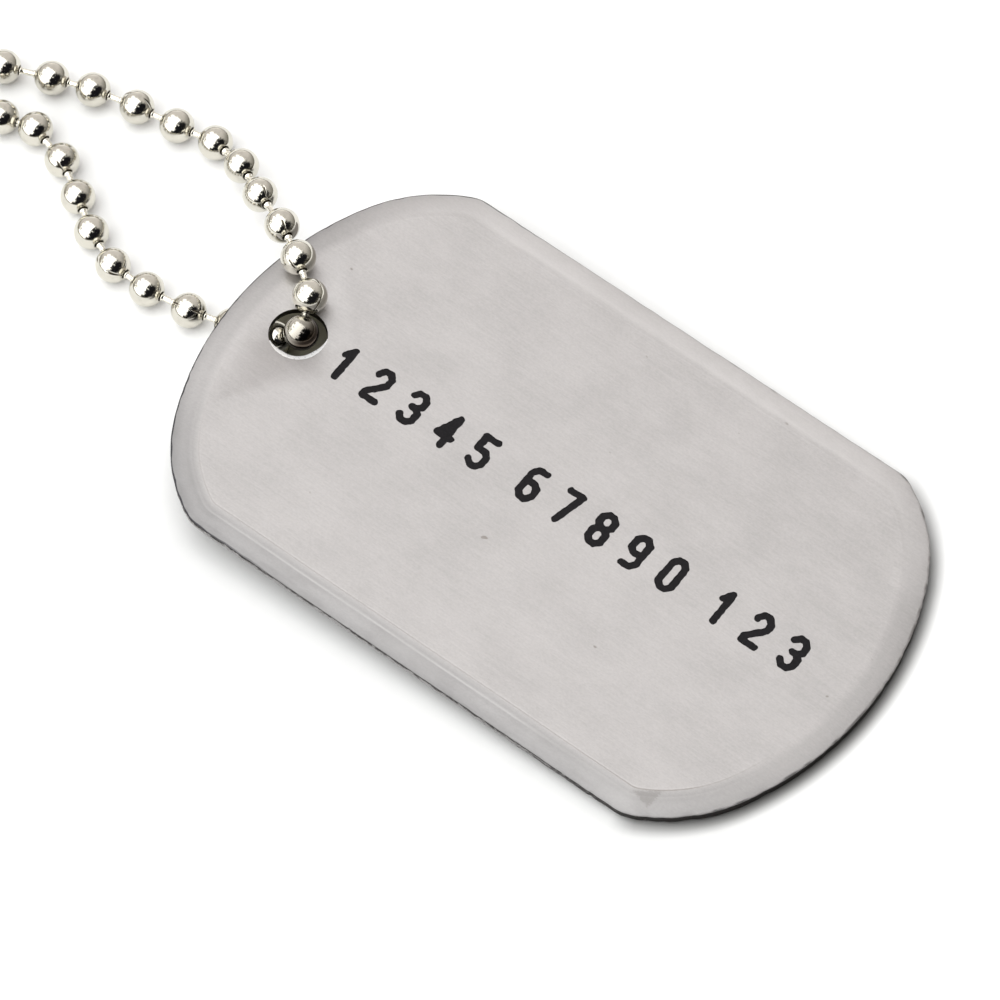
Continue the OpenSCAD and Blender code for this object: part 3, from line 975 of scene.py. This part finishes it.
def add_ball(shell, centre, before, after, segments, bands, seam, seam_from_sight):
    """A hollow ball with a mouth towards each of its neighbours and a seam between the two."""
    to_before, to_after = unit(before - centre), unit(after - centre)
    axis = unit(to_after - to_before)
    sight = np.array(SIGHT_BACK)
    side = unit(sight - (sight @ axis) * axis)
    start = math.radians(seam_from_sight)
    around = start + np.linspace(0, 2 * math.pi, segments, endpoint=False)
    if seam:
        around = np.concatenate([start + np.array(SEAM_LINES), around[1:]])
    circle = round_axis(around, side, np.cross(axis, side))
    away = np.abs(np.angle(np.exp(1j * (around - start))))
    groove = np.interp(away, SEAM_TURNS, SEAM_DEPTHS) if seam else np.zeros(len(around))

    # The skin, with its two poles bent towards the neighbours, up to the rounded lips
    lip_turn, dark_opening, dark_groove = 0.06, 0.3, 0.02
    mouth = math.asin(MOUTH_R / BALL_R) + lip_turn
    rings, opened = [], []
    for k in range(bands + 1):
        polar = mouth + (math.pi - 2 * mouth) * k / bands
        tip, from_pole = (to_after, polar) if polar < math.pi / 2 else (-to_before, math.pi - polar)
        lean = min(1, max(0, (math.pi / 2 - from_pole) / (math.pi / 2 - mouth)))
        lean = lean * lean * (3 - 2 * lean)
        open_share = np.clip((abs(math.cos(polar)) - SEAM_OPENS) / SEAM_OPEN_OVER, 0, 1)
        radius = (BALL_R - open_share * groove)[:, None]
        rings.append((radius * (math.sin(polar) * circle + math.cos(polar) * axis), tip, lean))
        opened.append(open_share > dark_opening)

    # The mouths: distance from the axis and along it, from the lip down to the floor
    rise = math.sqrt(BALL_R ** 2 - MOUTH_R ** 2)
    inner = [
        (MOUTH_R + 0.025, rise - 0.018), (MOUTH_R - 0.01, rise - 0.04),
        (MOUTH_R - 0.03, rise - 0.12), (MOUTH_R - 0.03, MOUTH_FLOOR),
    ]
    front = [(rho * circle + height * axis, to_after, 1.0) for rho, height in reversed(inner)]
    back = [(rho * circle - height * axis, -to_before, 1.0) for rho, height in inner]
    ids = [
        shell.ring(leaned(points, axis, tip, lean) + centre)
        for points, tip, lean in front + rings + back
    ]
    seam_slot = np.where(groove + np.roll(groove, -1) > dark_groove, SHADE, NICKEL).tolist()
    shell.bands(ids[:3], SHADE)
    shell.bands(ids[2:5], NICKEL)
    for k, here in enumerate(zip(opened, opened[1:])):
        shell.bridge(ids[k + 4], ids[k + 5], seam_slot if seam and all(here) else NICKEL)
    shell.bands(ids[-5:-2], NICKEL)
    shell.bands(ids[-3:], SHADE)
    shell.cap(ids[0], centre + MOUTH_FLOOR * to_after, SHADE)
    shell.cap(ids[-1], centre + MOUTH_FLOOR * to_before, SHADE)


def add_link(shell, first, second):
    """The wire between two balls, drawn in at its middle, with a knob inside each ball."""
    run = second - first
    length = np.linalg.norm(run)
    axis = run / length
    side = unit(np.cross(axis, [0, 0, 1]) if abs(axis[2]) < 0.9 else np.cross(axis, [1, 0, 0]))
    around = np.linspace(0, 2 * math.pi, WIRE_SIDES, endpoint=False)
    circle = round_axis(around, side, np.cross(axis, side))
    gap = length - 2 * BALL_R
    collar = min(0.14, 0.25 * gap)
    waist = 0.215 - 0.05 * max(0, gap - 1)

    # Half of the wire: its radius, and how far past the ball's skin it has that radius
    half = [
        (0.20, -0.42), (0.26, -0.34), (0.26, -0.24), (0.19, -0.16), (0.20, -0.09), (0.27, -0.04),
        (0.275, 0.4 * collar), (0.20, 0.8 * collar), (waist, 0.30 * gap),
    ]
    profile = [(rho, BALL_R + past) for rho, past in half]
    profile += [(rho, length - along) for rho, along in reversed(profile)]
    rings = [shell.ring(first + along * axis + rho * circle) for rho, along in profile]
    shell.bands(rings)
    shell.cap(rings[0], first + WIRE_END * axis)
    shell.cap(rings[-1], second - WIRE_END * axis)


# Balls near the tag, by number, with the seam's turn from the line of sight where it shows
NEAR_BALLS = range(86, 114)
SEEN_SEAMS = {92: -40, 96: -28, 97: -12, 98: 35, 99: -40, 102: -35, 103: 5, 105: -30, 108: -15}


def chain_pieces(centres, rng):
    """The balls near the tag, finely made, the plainer ones elsewhere, and the link wires."""
    near, far, links = Shell(), Shell(), Shell()
    last = len(centres) - 1
    for k, centre in enumerate(centres):
        before = centres[k - 1] if k else 2 * centre - centres[1]
        after = centres[k + 1] if k < last else 2 * centre - centres[last - 1]
        turn = rng.uniform(-180, 180)
        if k in NEAR_BALLS:
            seam = SEEN_SEAMS.get(k, 180 + turn / 3)
            add_ball(near, centre, before, after, NEAR_SEGMENTS, NEAR_BANDS, True, seam)
        else:
            add_ball(far, centre, before, after, FAR_SEGMENTS, FAR_BANDS, False, turn)
    for first, second in zip(centres, centres[1:]):
        add_link(links, first, second)
    chain_nickel = nickel("chain_nickel", (0.66, 0.635, 0.565, 1))
    link_nickel = nickel("link_nickel", (0.86, 0.83, 0.74, 1))
    shade = recess_shade("seam_shade", (0.035, 0.028, 0.018, 1), (0.16, 0.13, 0.085, 1))
    ball_materials = [chain_nickel, shade]
    balls = [near.make("near_balls", ball_materials), far.make("far_balls", ball_materials)]
    return balls, links.make("link_wires", [link_nickel])


rng = np.random.default_rng(RANDOM_SEED)
matrix = tag_matrix()
stamped, filled = figure_loops(rng)
tag = tag_piece(stamped, matrix, rng)
filling = fill_piece(filled, matrix)
balls, links = chain_pieces(ball_centres(), rng)
for piece in (tag, filling, links, *balls):
    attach(piece, "root")
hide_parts("tag_plate")
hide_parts("chain_links")
for piece in balls:
    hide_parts("chain_balls")
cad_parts["chain_clasp"].data.materials.clear()
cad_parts["chain_clasp"].data.materials.append(nickel("clasp_nickel", (0.82, 0.8, 0.76, 1)))


# Floor, light and camera

def studio():
    """Light from all round, as a soft tent would give it, fixed in space: a bright cloth above and
    behind the tag, and a dark room on the side that it is seen from."""
    world = bpy.data.worlds.new("studio")
    bpy.context.scene.world = world
    nodes = Nodes(world)
    ray = nodes.add("ShaderNodeTexCoord", output=0)
    half = nodes.add("ShaderNodeVectorMath", {0: ray, 1: tuple(SIGHT_BACK)}, operation="ADD")
    half = nodes.add("ShaderNodeVectorMath", {0: half}, operation="NORMALIZE")
    right = nodes.vector_math("DOT_PRODUCT", half, SIGHT_RIGHT)
    up = nodes.vector_math("DOT_PRODUCT", half, SIGHT_UP)
    wobble_inputs = {"Vector": half, "Scale": 8.0, "Detail": 4.0, "Roughness": 0.75}
    wobble = nodes.add("ShaderNodeTexNoise", wobble_inputs)
    jag = nodes.remap(wobble, 0.25, 0.75, -0.24, 0.24, smooth=False)

    # Two ways over a ball's picture of the room: down to the right, and up along the cloth's edge
    lean = math.radians(CLOTH_LEAN)
    down = nodes.plus(nodes.times(right, math.cos(lean)), nodes.times(up, math.sin(lean)), jag)
    rise = nodes.plus(nodes.times(right, -math.sin(lean)), nodes.times(up, math.cos(lean)))
    rise = nodes.plus(rise, nodes.times(jag, 0.5))

    def patch(down_span, rise_span):
        return nodes.times(nodes.window(down, *down_span), nodes.window(rise, *rise_span))

    # Each patch: where it begins and ends on the two, and how soft it is there
    cloth = patch((-0.56, -0.01, 0.03), (-0.58, 0.36, 0.05))
    dark = patch((-0.04, 0.48, 0.06), (-0.85, 0.40, 0.07))
    dusk = patch((0.36, 0.85, 0.12), (-0.80, 0.34, 0.12))
    skirting = nodes.window(nodes.coordinate(ray, 2), -0.02, 0.10, 0.02)
    skirting = nodes.times(skirting, nodes.remap(wobble, 0.3, 0.6, 0.4, 1.0))
    room = nodes.blend(nodes.remap(up, -0.3, 0.9), (0.55, 0.53, 0.49, 1), (0.80, 0.765, 0.75, 1))
    room = nodes.blend(nodes.remap(right, 0.30, 0.75), room, (0.26, 0.25, 0.225, 1))
    room = nodes.blend(nodes.remap(right, -0.75, -0.5, 1.0, 0.0), room, (0.40, 0.385, 0.345, 1))
    room = nodes.blend(nodes.remap(up, 0.74, 0.84), room, (1.2, 1.17, 1.13, 1))
    room = nodes.blend(dusk, room, (0.13, 0.12, 0.10, 1))
    room = nodes.blend(dark, room, (0.010, 0.010, 0.012, 1))
    room = nodes.blend(cloth, room, (2.3, 2.3, 2.27, 1))
    room = nodes.blend(skirting, room, (0.10, 0.095, 0.065, 1))
    seen_directly = nodes.add("ShaderNodeLightPath")
    shown = nodes.blend(seen_directly, room, (0.98, 0.98, 0.98, 1))
    strength = nodes.remap(seen_directly, 0.0, 1.0, 1.15, 1.0)
    background = nodes.add("ShaderNodeBackground", {"Color": shown, "Strength": strength})
    nodes.add_output("ShaderNodeOutputWorld", background)


def ground(matrix):
    """A level floor, cut in rings round the tag, where it carries the shade at the tag's foot."""
    line, inward = outline(0.5)
    line = line + np.array(matrix.translation[:2]) / MM
    right, near, far = (np.clip(inward @ side, 0, 1) for side in ([-1, 0], [0, 1], [0, -1]))
    near_contact, near_wide = 0.08, 0.13
    contact = right * (1 - 0.4 * far) + near_contact * near * (1 - right)
    shell = Shell()
    shades, rings = [], []
    for reach in (-1, 0, 0.15, 0.3, 0.45, 0.6, 0.8, 1.0, 1.3, 1.6, 2.4, 3.6, 5.5, 8):
        rings.append(shell.ring(at_height(line - reach * inward, 0)))
        close = np.interp(reach, [0, 0.4, 0.6, 1.0, 1.6], [0.9, 0.7, 0.5, 0.14, 0])
        wide = np.interp(reach, [1, 3.6, 8], [1, 0.6, 0])
        shades.append(contact * close + near_wide * near * wide)
    shell.bands(rings)
    signs = ((-1, -1, 0), (1, -1, 0), (1, 1, 0), (-1, 1, 0))
    square = shell.ring(FLOOR_REACH * np.array(signs))
    shades.append(np.zeros(len(signs)))
    shell.fill([rings[0]])
    shell.fill([rings[-1], square])
    plane = shell.make("ground", [pale_paper()])
    set_values(plane.data, "shade", np.concatenate(shades))
    plane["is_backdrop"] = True


def camera():
    lens = bpy.data.cameras.new("camera")
    lens.sensor_width = 36
    lens.lens = CAMERA_LENS
    lens.clip_start = 0.01
    lens.clip_end = 100
    eye = bpy.data.objects.new("camera", lens)
    turn = Matrix((SIGHT_RIGHT, SIGHT_UP, SIGHT_BACK)).transposed()
    eye.matrix_world = Matrix.Translation(CAMERA_AT) @ turn.to_4x4()
    bpy.context.scene.collection.objects.link(eye)
    bpy.context.scene.camera = eye


studio()
ground(matrix)
camera()
bpy.context.scene.view_settings.view_transform = "Standard"

[[list(corner) for corner in box] for box in (cad_box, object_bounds())]
